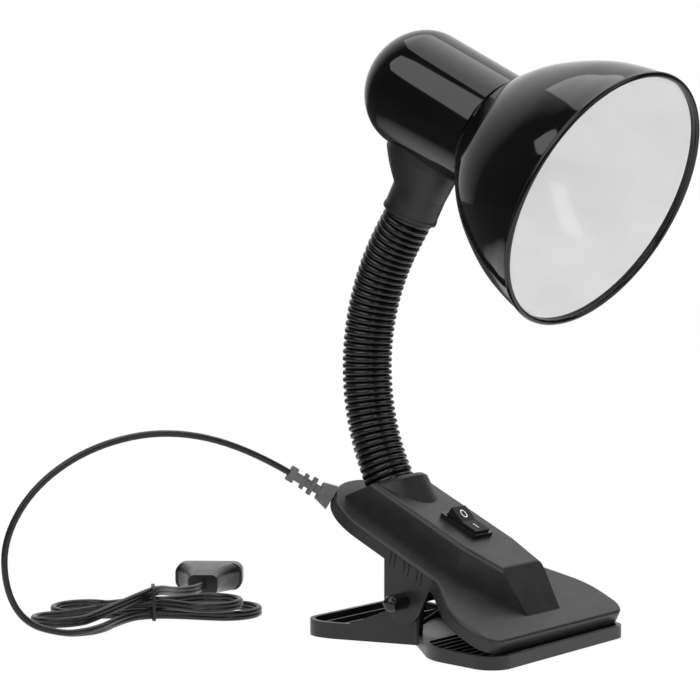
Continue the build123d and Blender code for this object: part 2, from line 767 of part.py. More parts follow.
# twist tie round the bundle, with its twisted end
with BuildPart() as cord_tie:
    tie_way = Vector(tie_c, tie_s, 0)
    bundle = Plane(origin=TIE - tie_way * 0.8, x_dir=tie_across, z_dir=tie_way)
    high = low + 2 * ROW + CORD_R
    with BuildSketch(bundle):
        with Locations((0, (high + 1) / 2)):
            RectangleRounded(2 * (ROW / 2 + CORD_R + 2.7), high + 0.8, 2)
            RectangleRounded(2 * (ROW / 2 + CORD_R + 2.2), high - 0.2, 1.5, mode=Mode.SUBTRACT)
    extrude(amount=1.6)
    end_c, end_s = turned(222)
    tie_end = Plane(
        origin=TIE - tie_across * 7.6 + Vector(0, 0, 9.5), x_dir=(-end_s, end_c, 0),
        z_dir=(end_c, end_s, -0.05),
    )
    with BuildSketch(tie_end):
        RectangleRounded(2, 1, 0.3)
    extrude(amount=28)

# flat two-pin plug lying on the floor
plug = Plane(origin=PLUG_AT, x_dir=(plug_s, -plug_c, 0), z_dir=plug_way)
with BuildPart() as plug_body:
    with BuildSketch(plug):
        RectangleRounded(15, 10, 3)
    with BuildSketch(plug.offset(13)):
        RectangleRounded(19, 12.5, 4)
    with BuildSketch(plug.offset(27)):
        RectangleRounded(33, PLUG_H, 5)
    loft()
    with BuildSketch(plug.offset(27)):
        RectangleRounded(35, PLUG_H, 5)
    extrude(amount=9)

with BuildPart() as plug_pins:
    with BuildSketch(plug.offset(36.02)):
        with Locations((-9.3, 0), (9.3, 0)):
            Circle(2)
    extrude(amount=19)
    fillet(faces().sort_by(Axis(PLUG_AT, plug_way))[-2:].edges(), 1)

# export every piece
pieces = {
    "upper_casing": upper_casing, "bottom_cover": bottom_cover, "cover_screws": cover_screws,
    "lower_jaw": lower_jaw, "hinge_pin": hinge_pin, "pin_cap": pin_cap,
    "torsion_spring": torsion_spring, "switch_body": switch_body, "rocker": rocker,
    "switch_terminals": switch_terminals, "strain_relief": strain_relief,
    "neck_core": neck_core, "lamp_flex": lamp_flex, "neck_base_ferrule": neck_base_ferrule,
    "neck_base_nut": neck_base_nut, "neck_head_ferrule": neck_head_ferrule,
    "neck_head_nut": neck_head_nut, "neck_socket": neck_socket, "saddle_screws": saddle_screws,
    "holder_cap": holder_cap, "shade_bell": shade_bell, "lampholder": lampholder,
    "thread_shell": thread_shell, "centre_contact": centre_contact,
    "holder_terminals": holder_terminals, "shade_ring": shade_ring, "cord_lead": cord_lead,
    "cord_hank": cord_hank, "cord_tie": cord_tie, "plug_body": plug_body, "plug_pins": plug_pins,
}
for name, piece in pieces.items():
    piece.part.label = name
    export_step(piece.part, f"parts/{name}.step")
for number, solid in enumerate(neck_links, start=1):
    solid.label = f"neck_link_{number:02d}"
    export_step(solid, f"parts/neck_link_{number:02d}.step")
print("relief end", relief_end, "neck top", neck_top, "head way", head_way)
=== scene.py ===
"""Clip-on reading lamp: the looks of its pieces, its light and its camera.

Sizes in the classes are in millimetres and degrees, and the pieces are built in metres in the
frame's own axes: the floor is at zero under the hinge pin, X points to the jaw mouth and Z up.
"""

import logging
import math
from dataclasses import dataclass
from enum import Enum

import bpy
from mathutils import Matrix, Vector


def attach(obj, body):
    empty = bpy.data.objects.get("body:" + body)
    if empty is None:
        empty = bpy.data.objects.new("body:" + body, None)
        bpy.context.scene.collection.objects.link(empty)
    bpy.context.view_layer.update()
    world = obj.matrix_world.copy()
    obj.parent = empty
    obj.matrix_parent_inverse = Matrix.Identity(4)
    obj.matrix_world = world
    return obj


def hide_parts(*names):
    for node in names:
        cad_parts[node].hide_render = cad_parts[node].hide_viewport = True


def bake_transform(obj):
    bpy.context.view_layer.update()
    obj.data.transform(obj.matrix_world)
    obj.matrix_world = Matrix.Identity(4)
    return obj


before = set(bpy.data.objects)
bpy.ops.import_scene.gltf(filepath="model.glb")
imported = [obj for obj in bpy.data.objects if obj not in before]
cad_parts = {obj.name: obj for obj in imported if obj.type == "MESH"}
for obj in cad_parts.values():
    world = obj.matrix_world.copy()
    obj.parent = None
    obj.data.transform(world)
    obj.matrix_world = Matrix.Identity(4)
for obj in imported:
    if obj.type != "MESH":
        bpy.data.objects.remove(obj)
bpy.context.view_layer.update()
LOG = logging.getLogger("reading_lamp")
MM = 0.001
SLOPE = 25.8
PLATE_FRONT = Vector((61, 0, 12))
PIN_Z = 21.5
TONE_EDGES = (0.35, 0.65)
GLOSS_EDGES = (0.3, 0.7)


class Body(Enum):
    """The moving bodies that a piece can ride on, apart from the neck's links."""

    LOWER = "lower_jaw"
    UPPER = "upper_jaw"
    ROCKER = "rocker"
    HEAD = "head"


def linear(code: str) -> tuple[float, float, float, float]:
    """Turn an sRGB hex colour into linear RGBA.

    Args:
        code: A hash sign and six hex digits.

    Returns:
        Linear red, green and blue, and a full alpha.
    """
    shares = [int(code[i : i + 2], 16) / 255 for i in (1, 3, 5)]
    return (*(s / 12.92 if s <= 0.04045 else ((s + 0.055) / 1.055) ** 2.4 for s in shares), 1.0)


def add_node(tree: bpy.types.NodeTree, kind: str, settings: dict, links: dict) -> bpy.types.Node:
    """Add a node with its settings and links.

    Args:
        tree: The node tree that gets it.
        kind: The node's type name.
        settings: Input or attribute names with their values.
        links: Input names with the sockets that feed them.

    Returns:
        The new node.
    """
    made = tree.nodes.new(kind)
    for name, value in settings.items():
        if name in made.inputs:
            made.inputs[name].default_value = value
        else:
            setattr(made, name, value)
    for name, source in links.items():
        tree.links.new(source, made.inputs[name])
    return made


@dataclass(frozen=True)
class Finish:
    """A surface: two tones of one colour, its gloss and the grain that its making leaves."""

    name: str
    deep: str
    pale: str
    gloss: tuple[float, float]
    patch_mm: float
    grain_mm: float
    grain_deep_mm: float
    metallic: float = 0.0
    ior: float = 1.5
    coat: float = 0.0

    def grain(self, tree: bpy.types.NodeTree, place: bpy.types.NodeSocket) -> bpy.types.NodeSocket:
        """Give the height of the surface grain.

        Args:
            tree: The material's node tree.
            place: The socket with the place on the piece.

        Returns:
            The socket with the height.
        """
        scale = 1 / (self.grain_mm * MM)
        noise = add_node(
            tree, "ShaderNodeTexNoise", {"Scale": scale, "Detail": 2.0}, {"Vector": place}
        )
        return noise.outputs["Fac"]

    def build(self) -> bpy.types.Material:
        """Make the material the first time that it is asked for.

        Returns:
            The material.
        """
        made = bpy.data.materials.get(self.name)
        if made:
            return made
        made = bpy.data.materials.new(self.name)
        made.use_nodes = True
        tree = made.node_tree
        tree.nodes.clear()
        place = add_node(tree, "ShaderNodeTexCoord", {}, {}).outputs["Object"]
        scale = 1 / (self.patch_mm * MM)
        patches = add_node(
            tree, "ShaderNodeTexNoise", {"Scale": scale, "Detail": 3.0}, {"Vector": place}
        ).outputs["Fac"]
        tones = add_node(tree, "ShaderNodeValToRGB", {}, {"Fac": patches})
        for element, edge, code in zip(tones.color_ramp.elements, TONE_EDGES, (self.deep, self.pale)):
            element.position = edge
            element.color = linear(code)
        smoothest, roughest = self.gloss
        start, end = GLOSS_EDGES
        rough = add_node(
            tree,
            "ShaderNodeMapRange",
            {"From Min": start, "From Max": end, "To Min": smoothest, "To Max": roughest},
            {"Value": patches},
        )
        bump = add_node(
            tree,
            "ShaderNodeBump",
            {"Strength": 1.0, "Distance": self.grain_deep_mm * MM},
            {"Height": self.grain(tree, place)},
        )
        shader = add_node(
            tree,
            "ShaderNodeBsdfPrincipled",
            {"Metallic": self.metallic, "IOR": self.ior, "Coat Weight": self.coat},
            {
                "Base Color": tones.outputs["Color"],
                "Roughness": rough.outputs["Result"],
                "Normal": bump.outputs["Normal"],
            },
        )
        add_node(
            tree, "ShaderNodeOutputMaterial", {}, {"Surface": shader.outputs["BSDF"]}
        )
        made.diffuse_color = linear(self.pale)
        return made


@dataclass(frozen=True)
class TurnedMetal(Finish):
    """Metal from a lathe or press, with fine rings round the pattern's own axis."""

    def grain(self, tree: bpy.types.NodeTree, place: bpy.types.NodeSocket) -> bpy.types.NodeSocket:
        """Give the height of fine tool marks, wavy along the piece.

        Args:
            tree: The material's node tree.
            place: The socket with the place on the piece.

        Returns:
            The socket with the height.
        """
        scale = 1 / (self.grain_mm * MM)
        wave = add_node(
            tree,
            "ShaderNodeTexWave",
            {"Scale": scale / 6.3, "Distortion": 1.5, "Detail": 1.0, "bands_direction": "Z"},
            {"Vector": place},
        )
        return wave.outputs["Fac"]


# ABS moulded in a spark-eroded tool: satin black with a fine sandy grain that softens highlights
CLIP_ABS = Finish("clip_abs_moulded", "#161617", "#1c1c1d", (0.36, 0.44), 9, 0.55, 0.02)
# stove enamel on spun steel: deep gloss black with a faint orange peel
BLACK_ENAMEL = Finish("stove_enamel_black", "#040404", "#070707", (0.05, 0.08), 20, 3.0, 0.004)
# white paint sprayed inside the shade: satin, so light pools softly in the bowl
WHITE_LINING = Finish(
    "sprayed_paint_white", "#e6e6e6", "#ebebeb", (0.2, 0.26), 25, 1.2, 0.004, coat=0.5
)
# extruded polypropylene sleeve: semi-gloss, each rib carries a small sharp light
SLEEVE_PP = Finish("corrugated_polypropylene", "#0d0d0e", "#131314", (0.17, 0.24), 6, 0.8, 0.006)
# polished nylon of the switch: clean gloss with crisp edges
SWITCH_NYLON = Finish("switch_nylon_polished", "#0a0a0b", "#0e0e0f", (0.12, 0.18), 7, 0.6, 0.003)
# spark-eroded nylon of the rocker: near black, its fine grain breaks up the light
ROCKER_NYLON = Finish("rocker_nylon_grained", "#0a0a0a", "#101010", (0.5, 0.6), 6, 0.35, 0.02, ior=1.38)
# paper-thin PVC over a wire: dull black
TIE_PVC = Finish("tie_strip_pvc", "#0d0d0d", "#151515", (0.4, 0.5), 4, 0.5, 0.01)
# soft PVC of the cord grip: mid grey and matt
RELIEF_PVC = Finish("soft_pvc_grey", "#4b4b4d", "#555557", (0.5, 0.6), 5, 0.5, 0.02)
# extruded PVC cord sheath: black with a greasy half gloss
CORD_PVC = Finish("extruded_pvc_black", "#0c0c0c", "#131313", (0.26, 0.36), 5, 0.7, 0.008)
# zinc-plated steel: bluish grey and slightly cloudy
ZINC_STEEL = TurnedMetal("zinc_plated_steel", "#9b9da0", "#b4b5b6", (0.28, 0.4), 4, 0.5, 0.006, 1.0)
# oil-blackened spring wire: dark metal with drawn lines
SPRING_WIRE = TurnedMetal("spring_steel_oiled", "#3a3a3c", "#4d4d4f", (0.3, 0.42), 4, 0.5, 0.005, 1.0)
# drawn brass: warm yellow with press rings
BRASS = TurnedMetal("drawn_brass", "#b08d4a", "#c6a35c", (0.22, 0.34), 5, 0.6, 0.006, 1.0)
# thermoset of the lampholder: off-white and waxy
HOLDER_RESIN = Finish("holder_thermoset_white", "#d5d0c4", "#dfdbd0", (0.4, 0.5), 8, 0.8, 0.01)
# printed white marks on the rocker
MARK_WHITE = Finish("printed_ink_white", "#dadada", "#e6e6e6", (0.4, 0.5), 2, 0.4, 0.004)


def idle() -> None:
    """Leave edit mode and deselect everything."""
    if bpy.context.object and bpy.context.object.mode != "OBJECT":
        bpy.ops.object.mode_set(mode="OBJECT")
    bpy.ops.object.select_all(action="DESELECT")


def axes(at: Vector, x_way: Vector, z_way: Vector) -> Matrix:
    """Give the matrix of a frame.

    Args:
        at: Its origin in metres.
        x_way: Roughly its X direction.
        z_way: Its Z direction.

    Returns:
        The matrix from the frame to the world.
    """
    z = z_way.normalized()
    y = z.cross(x_way).normalized()
    turn = Matrix((y.cross(z), y, z)).transposed().to_4x4()
    return Matrix.Translation(at) @ turn


def settle(piece: bpy.types.Object, place: Matrix) -> bpy.types.Object:
    """Put a piece in its place and apply that to its mesh.

    Args:
        piece: A mesh object at the origin.
        place: The matrix that carries it to its place.

    Returns:
        The same object, unturned at the origin.
    """
    idle()
    piece.matrix_world = place
    piece.select_set(True)
    bpy.context.view_layer.objects.active = piece
    bpy.ops.object.transform_apply(location=True, rotation=True, scale=True)
    return piece


def smooth(piece: bpy.types.Object, degrees: float) -> None:
    """Shade a piece smooth, but keep its sharp edges.

    Args:
        piece: A mesh object.
        degrees: The angle between faces from which an edge stays sharp.
    """
    idle()
    piece.select_set(True)
    bpy.context.view_layer.objects.active = piece
    bpy.ops.object.shade_smooth_by_angle(angle=math.radians(degrees))


def lathe(name: str, profile: list[tuple[float, float]], steps: int) -> bpy.types.Object:
    """Spin a profile round the Z axis.

    Args:
        name: The piece's name.
        profile: Radius and height of each point in millimetres, first to last.
        steps: Steps in the full turn.

    Returns:
        The turned piece at the origin.
    """
    idle()
    bpy.ops.mesh.primitive_plane_add(size=MM)
    piece = bpy.context.active_object
    piece.name = piece.data.name = name
    bpy.ops.object.mode_set(mode="EDIT")
    bpy.ops.mesh.select_all(action="SELECT")
    bpy.ops.mesh.merge(type="CENTER")
    radius, height = profile[0]
    bpy.ops.transform.translate(value=(radius * MM, 0, height * MM))
    for (r0, z0), (r1, z1) in zip(profile, profile[1:]):
        move = ((r1 - r0) * MM, 0, (z1 - z0) * MM)
        bpy.ops.mesh.extrude_vertices_move(TRANSFORM_OT_translate={"value": move})
    bpy.ops.mesh.select_all(action="SELECT")
    bpy.ops.mesh.spin(steps=steps, angle=2 * math.pi, center=(0, 0, 0), axis=(0, 0, 1))
    bpy.ops.mesh.select_all(action="SELECT")
    bpy.ops.mesh.remove_doubles(threshold=2e-6)
    bpy.ops.mesh.normals_make_consistent(inside=False)
    bpy.ops.object.mode_set(mode="OBJECT")
    return piece


def bar(name: str, size: tuple[float, float, float], edge: float) -> bpy.types.Object:
    """Make a small bar with rounded edges.

    Args:
        name: The piece's name.
        size: Its size along X, Y and Z in millimetres.
        edge: The rounding of its edges in millimetres.

    Returns:
        The bar, centred at the origin.
    """
    idle()
    bpy.ops.mesh.primitive_cube_add(size=MM)
    piece = bpy.context.active_object
    piece.name = piece.data.name = name
    bpy.ops.object.mode_set(mode="EDIT")
    bpy.ops.mesh.select_all(action="SELECT")
    bpy.ops.transform.resize(value=size)
    bpy.ops.mesh.bevel(offset=edge * MM, segments=2, affect="EDGES")
    bpy.ops.object.mode_set(mode="OBJECT")
    return piece


def eased(points: list[tuple[float, float]], parts: int) -> list[tuple[float, float]]:
    """Draw a smooth line through the points of a profile.

    Args:
        points: The points it passes through.
        parts: Parts between each two points.

    Returns:
        All the points of the line.
    """
    line = []
    for i in range(len(points) - 1):
        a, b = points[max(i - 1, 0)], points[i]
        c, d = points[i + 1], points[min(i + 2, len(points) - 1)]
        for j in range(parts):
            t = j / parts
            line.append(
                tuple(
                    0.5 * (2 * q + (r - p) * t + (2 * p - 5 * q + 4 * r - s) * t * t
                           + (3 * q - p - 3 * r + s) * t**3)
                    for p, q, r, s in zip(a, b, c, d)
                )
            )
    return [*line, points[-1]]


def tube(
    name: str, path: list[Vector], wides: list[Vector], section: list[tuple[float, float]]
) -> bpy.types.Object:
    """Sweep a section along a path.

    Args:
        name: The piece's name.
        path: The points of the path in metres.
        wides: The direction of the section's wide side at each point.
        section: Wide and thin offset of each corner of the section, in millimetres.

    Returns:
        The closed tube.
    """
    places, count = [], len(section)
    for i, here in enumerate(path):
        along = (path[min(i + 1, len(path) - 1)] - path[max(i - 1, 0)]).normalized()
        wide = (wides[i] - along * wides[i].dot(along)).normalized()
        thin = along.cross(wide)
        places += [here + (wide * w + thin * t) * MM for w, t in section]
    faces = [tuple(range(count))[::-1], tuple(range(len(places) - count, len(places)))]
    for i in range(len(path) - 1):
        for j in range(count):
            k = (j + 1) % count
            a, b = i * count, (i + 1) * count
            faces.append((a + j, a + k, b + k, b + j))
    mesh = bpy.data.meshes.new(name)
    mesh.from_pydata(places, [], faces)
    piece = bpy.data.objects.new(name, mesh)
    bpy.context.scene.collection.objects.link(piece)
    return piece


def circle(radius: float, count: int) -> list[tuple[float, float]]:
    """Give the corners of a round section.

    Args:
        radius: Its radius in millimetres.
        count: The number of corners.

    Returns:
        Wide and thin offset of each corner.
    """
    turns = [2 * math.pi * i / count for i in range(count)]
    return [(radius * math.cos(t), radius * math.sin(t)) for t in turns]


def dress(
    piece: bpy.types.Object, finish: Finish, slot: str, body: str, *nodes: str
) -> bpy.types.Object:
    """Give a piece its finish, its body and the nodes that it stands for.

    Args:
        piece: The finished piece.
        finish: Its finish.
        slot: The record's slot; not used.
        body: The body that it rides on, or nothing for a piece that bends.
        nodes: The CAD nodes that it replaces.

    Returns:
        The same piece.
    """
    if not piece.data.materials:
        piece.data.materials.append(finish.build())
    if body:
        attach(piece, body)
    if nodes:
        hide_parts(*nodes)
    LOG.info("%s rides on %s", piece.name, body or "two bodies")
    return piece


@dataclass(frozen=True)
class Viewpoint:
    """The camera where the photograph was taken from."""

    at: tuple[float, float, float] = (552.45, -773.03, 176.27)
    right: tuple[float, float, float] = (0.7842, 0.6205, 0.0)
    up: tuple[float, float, float] = (-0.0289, 0.0365, 0.9989)
    back: tuple[float, float, float] = (0.6198, -0.7834, 0.0466)
    lens_mm: float = 107.04
    sensor_mm: float = 36
    nearest: float = 0.05
    middle: tuple[float, float, float] = (-0.01, -0.02, 0.13)

    def build(self) -> None:
        """Make the camera and set it."""
        lens = bpy.data.cameras.new("camera")
        lens.lens = self.lens_mm
        lens.sensor_width = self.sensor_mm
        lens.clip_start = self.nearest
        camera = bpy.data.objects.new("camera", lens)
        turn = Matrix((self.right, self.up, self.back)).transposed().to_4x4()
        camera.matrix_world = Matrix.Translation(Vector(self.at) * MM) @ turn
        bpy.context.scene.collection.objects.link(camera)
        bpy.context.scene.camera = camera

    def place(self, right: float, up: float, back: float) -> Vector:
        """Give a place from its offsets along the camera's own directions.

        Args:
            right: Metres to the right of the lamp's middle.
            up: Metres above it.
            back: Metres towards the camera.

        Returns:
            The place in metres.
        """
        ways = Vector(self.right) * right + Vector(self.up) * up + Vector(self.back) * back
        return Vector(self.middle) + ways


@dataclass(frozen=True)
class Softbox:
    """A large plain lamp: its place from the lamp's middle along the camera's directions."""

    name: str
    right: float
    up: float
    back: float
    size: tuple[float, float]
    power: float


@dataclass(frozen=True)
class Studio:
    """White floor and surround, with soft lamps in a dim room."""

    boxes: tuple[Softbox, ...] = (
        Softbox("key_box", -0.75, 0.95, 0.9, (1.3, 1.45), 12.0),
        Softbox("top_box", 0.35, 1.3, -0.1, (1.7, 1.25), 10.0),
        Softbox("fill_box", 1.25, 0.05, 0.6, (1.0, 1.3), 4.0),
        Softbox("window_box", 0.28, 0.4, 1.1, (0.24, 0.85), 1.5),
    )
    floor_size: float = 12
    floor_glow_share: float = 0.97
    sheet_reach: tuple[float, float] = (0.4, 0.6)
    backdrop_edge: tuple[float, float] = (0.55, 0.95)
    room_glow: float = 0.7
    room_mirrored: float = 0.07

    def build(self, view: Viewpoint) -> None:
        """Make the lamps, the floor and the surround.

        Args:
            view: The camera that the lamps stand round.
        """
        aim = view.place(0.05, 0.02, 0)
        for box in self.boxes:
            lamp = bpy.data.lights.new(box.name, "AREA")
            lamp.shape = "RECTANGLE"
            lamp.size, lamp.size_y = box.size
            lamp.energy = box.power
            holder = bpy.data.objects.new(box.name, lamp)
            at = view.place(box.right, box.up, box.back)
            holder.matrix_world = axes(at, Vector(view.right), at - aim)
            bpy.context.scene.collection.objects.link(holder)
        self.floor()
        self.surround(view)

    def floor(self) -> None:
        """Make the white floor that keeps the shadow."""
        idle()
        bpy.ops.mesh.primitive_grid_add(x_subdivisions=8, y_subdivisions=8, size=self.floor_size)
        floor = bpy.context.active_object
        floor.name = "floor"
        paper = bpy.data.materials.new("paper_white")
        paper.use_nodes = True
        tree = paper.node_tree
        tree.nodes.clear()
        rays = add_node(tree, "ShaderNodeLightPath", {}, {}).outputs
        seen = rays["Is Camera Ray"]
        for name in ("Is Glossy Ray", "Is Transmission Ray"):
            both = add_node(tree, "ShaderNodeMath", {"operation": "MAXIMUM"}, {})
            tree.links.new(seen, both.inputs[0])
            tree.links.new(rays[name], both.inputs[1])
            seen = both.outputs["Value"]
        part = add_node(tree, "ShaderNodeMath", {"operation": "MULTIPLY"}, {})
        tree.links.new(seen, part.inputs[0])
        part.inputs[1].default_value = self.floor_glow_share
        matt = add_node(tree, "ShaderNodeBsdfDiffuse", {"Color": linear("#f4f4f4")}, {})
        glow = add_node(
            tree, "ShaderNodeEmission", {}, {"Strength": self.floor_glow(tree, rays["Is Camera Ray"])}
        )
        mix = add_node(tree, "ShaderNodeMixShader", {}, {"Fac": part.outputs["Value"]})
        tree.links.new(matt.outputs["BSDF"], mix.inputs[1])
        tree.links.new(glow.outputs["Emission"], mix.inputs[2])
        add_node(tree, "ShaderNodeOutputMaterial", {}, {"Surface": mix.outputs["Shader"]})
        floor.data.materials.append(paper)

    def floor_glow(
        self, tree: bpy.types.NodeTree, direct: bpy.types.NodeSocket
    ) -> bpy.types.NodeSocket:
        """Give the floor's glow: even to the camera, but in mirror images only near the lamp.

        Args:
            tree: The floor's node tree.
            direct: The socket that is one for the camera's own rays.

        Returns:
            The socket with the strength.
        """
        place = add_node(tree, "ShaderNodeNewGeometry", {}, {}).outputs["Position"]
        away = add_node(tree, "ShaderNodeVectorMath", {"operation": "LENGTH"}, {})
        tree.links.new(place, away.inputs[0])
        near, far = self.sheet_reach
        fade = add_node(
            tree,
            "ShaderNodeMapRange",
            {"From Min": near, "From Max": far, "To Min": 1.0, "To Max": self.room_mirrored},
            {"Value": away.outputs["Value"]},
        )
        strength = add_node(tree, "ShaderNodeMath", {"operation": "MAXIMUM"}, {})
        tree.links.new(direct, strength.inputs[0])
        tree.links.new(fade.outputs["Result"], strength.inputs[1])
        return strength.outputs["Value"]

    def surround(self, view: Viewpoint) -> None:
        """Make the white backdrop and the dim room in front of it.

        Args:
            view: The camera that looks at the backdrop.
        """
        world = bpy.data.worlds.new("studio")
        bpy.context.scene.world = world
        world.use_nodes = True
        tree = world.node_tree
        tree.nodes.clear()
        way = add_node(tree, "ShaderNodeTexCoord", {}, {}).outputs["Generated"]
        facing = add_node(tree, "ShaderNodeVectorMath", {"operation": "DOT_PRODUCT"}, {})
        tree.links.new(way, facing.inputs[0])
        facing.inputs[1].default_value = Vector(view.up) * 0.6 - Vector(view.back) * 0.8
        edge_start, edge_end = self.backdrop_edge
        backdrop = add_node(
            tree,
            "ShaderNodeMapRange",
            {"From Min": edge_start, "From Max": edge_end, "To Min": 0.0, "To Max": 1.0},
            {"Value": facing.outputs["Value"]},
        ).outputs["Result"]
        rays = add_node(tree, "ShaderNodeLightPath", {}, {}).outputs
        mirrored = add_node(tree, "ShaderNodeMath", {"operation": "MAXIMUM"}, {})
        tree.links.new(rays["Is Glossy Ray"], mirrored.inputs[0])
        tree.links.new(rays["Is Transmission Ray"], mirrored.inputs[1])
        behind = add_node(tree, "ShaderNodeMath", {"operation": "MULTIPLY"}, {})
        tree.links.new(mirrored.outputs["Value"], behind.inputs[0])
        tree.links.new(backdrop, behind.inputs[1])
        white = add_node(tree, "ShaderNodeMath", {"operation": "MAXIMUM"}, {})
        tree.links.new(rays["Is Camera Ray"], white.inputs[0])
        tree.links.new(behind.outputs["Value"], white.inputs[1])
        paper = add_node(tree, "ShaderNodeBackground", {"Color": (1, 1, 1, 1), "Strength": 1.0}, {})
        dim = add_node(
            tree,
            "ShaderNodeMapRange",
            {"To Min": self.room_glow, "To Max": self.room_mirrored},
            {"Value": mirrored.outputs["Value"]},
        )
        room = add_node(
            tree, "ShaderNodeBackground", {"Color": (1, 1, 1, 1)},
            {"Strength": dim.outputs["Result"]},
        )
        mix = add_node(tree, "ShaderNodeMixShader", {}, {"Fac": white.outputs["Value"]})
        tree.links.new(room.outputs["Background"], mix.inputs[1])
        tree.links.new(paper.outputs["Background"], mix.inputs[2])
        add_node(tree, "ShaderNodeOutputWorld", {}, {"Surface": mix.outputs["Shader"]})
        bpy.context.scene.view_settings.view_transform = "Standard"


@dataclass(frozen=True)
class MainsCord:
    """Flat twin cord: an arch from the clip to the floor, a tied hank and its plug."""

    relief_end: tuple[float, float, float] = (-66.8415, -35.9379, 74.5595)
    relief_way: tuple[float, float, float] = (-0.64, -0.62, 0.54)
    wide_mm: float = 4.8
    core_mm: float = 1.5
    floor_z: float = 2.5
    row: float = 5.2
    tie: tuple[float, float, float] = (-139.3, -51.2, 0)
    tie_turn: float = 46.5
    plug_at: tuple[float, float, float] = (-161, 7.7, 7.2)
    plug_turn: float = 126
    loops: tuple[tuple[float, ...], ...] = (
        (56, 36, 16, -1, 2.5, 0),
        (196, 38, 15, 1, 2.5, 0),
        (36, 27, 14.7, 1, 8.3, 0),
        (253, 47, 14.8, -1, 3.9, 2.5),
    )
    headings: tuple[float, ...] = (52, 241, 36, 205, 103)
    slot_mm: float = 6.5
    first_side: float = -3.1
    loop_steps: int = 10
    band_half: float = 7.15
    band_low: float = 0.35
    band_high: float = 16.25
    band_bend: float = 1.75
    tail_side: float = 7.6
    tail_height: float = 9.5
    tail_turn: float = 222
    tail_slope: float = -0.05
    tail_mm: float = 27.5
    tail_twists: int = 6
    upright_from: float = 190
    upright_over: float = 80

    @staticmethod
    def toward(degrees: float) -> Vector:
        """Give a level direction.

        Args:
            degrees: Its angle from X.

        Returns:
            The direction, one unit long.
        """
        angle = math.radians(degrees)
        return Vector((math.cos(angle), math.sin(angle), 0))

    def lead(self) -> list[Vector]:
        """Give the control points of the free lead, from the cord grip to the tie.

        Returns:
            The points in millimetres.
        """
        start, way = Vector(self.relief_end), Vector(self.relief_way).normalized()
        points = [start - way * 2, start + way * 24]
        points += [
            Vector(p)
            for p in (
                (-104.2, -79.0, 95.5), (-125.9, -105.1, 88.5), (-142.6, -125.1, 71.0),
                (-151.6, -135.8, 47.0), (-151.2, -135.4, 24.0), (-145.6, -128.7, 8.2),
                (-134.8, -115.5, 2.7), (-130.8, -104.0, 2.5), (-132.3, -91.5, 2.5),
                (-137.8, -80.0, 2.5), (-141.5, -67.0, 2.8),
            )
        ]
        return points

    def hank(self) -> list[Vector]:
        """Give the control points of the hank's loops and of the run to the plug.

        Returns:
            The points in millimetres.
        """
        tie = Vector(self.tie)
        across = self.toward(self.tie_turn + 90)
        low, half = self.floor_z + 0.6, self.row / 2
        passes = [
            (self.first_side, low), (half, low), (half, low + self.row), (-half, low + self.row),
            (0, low + 2 * self.row),
        ]
        points = []
        for (side, height), heading, loop in zip(passes, self.headings, self.loops):
            slot = tie + across * side + Vector((0, 0, height))
            points += [slot + self.toward(heading) * d for d in (-self.slot_mm, self.slot_mm)]
            turn, away, radius, out, level, lift = loop
            spread = math.degrees(math.asin(radius / away))
            middle = tie + self.toward(turn) * away + Vector((0, 0, level))
            sweep, steps = 180 + 2 * spread, self.loop_steps
            reach = radius / math.cos(math.radians(sweep / steps / 2))
            for step in range(steps + 1):
                angle = turn + out * (90 + spread - sweep * step / steps)
                rise = Vector((0, 0, lift * step / steps))
                points.append(middle + self.toward(angle) * reach + rise)
        side, height = passes[-1]
        last = tie + across * side + Vector((0, 0, height))
        points += [last + self.toward(self.headings[-1]) * d for d in (-self.slot_mm, self.slot_mm)]
        plug = Vector(self.plug_at)
        points.append((last + plug) / 2 + Vector((-1, -1, -2)))
        points += [plug - self.toward(self.plug_turn) * 14, plug + self.toward(self.plug_turn) * 2]
        return points

    def centreline(self) -> list[Vector]:
        """Read the points of the cord's smooth line.

        Returns:
            The points in metres.
        """
        route = [p * MM for p in self.lead() + self.hank()]
        curve = bpy.data.curves.new("cord_route", "CURVE")
        curve.dimensions = "3D"
        spline = curve.splines.new("NURBS")
        spline.points.add(len(route) - 1)
        for point, place in zip(spline.points, route):
            point.co = (*place, 1)
        spline.order_u = 3
        spline.use_endpoint_u = True
        spline.resolution_u = 8
        holder = bpy.data.objects.new("cord_route", curve)
        bpy.context.scene.collection.objects.link(holder)
        bpy.context.view_layer.update()
        line = bpy.data.meshes.new_from_object(holder)
        points = [v.co.copy() for v in line.vertices]
        bpy.data.objects.remove(holder)
        bpy.data.meshes.remove(line)
        return points

    def section(self) -> list[tuple[float, float]]:
        """Give the corners of two cores side by side, with a groove between them.

        Returns:
            Wide and thin offset of each corner in millimetres.
        """
        aside = self.wide_mm / 2 - self.core_mm
        meet = math.degrees(math.acos(-aside / self.core_mm))
        corners = []
        for side in (1, -1):
            for i in range(11):
                angle = math.radians(-meet + 2 * meet * i / 10)
                corners.append(
                    (side * (aside + self.core_mm * math.cos(angle)),
                     side * self.core_mm * math.sin(angle))
                )
        return corners

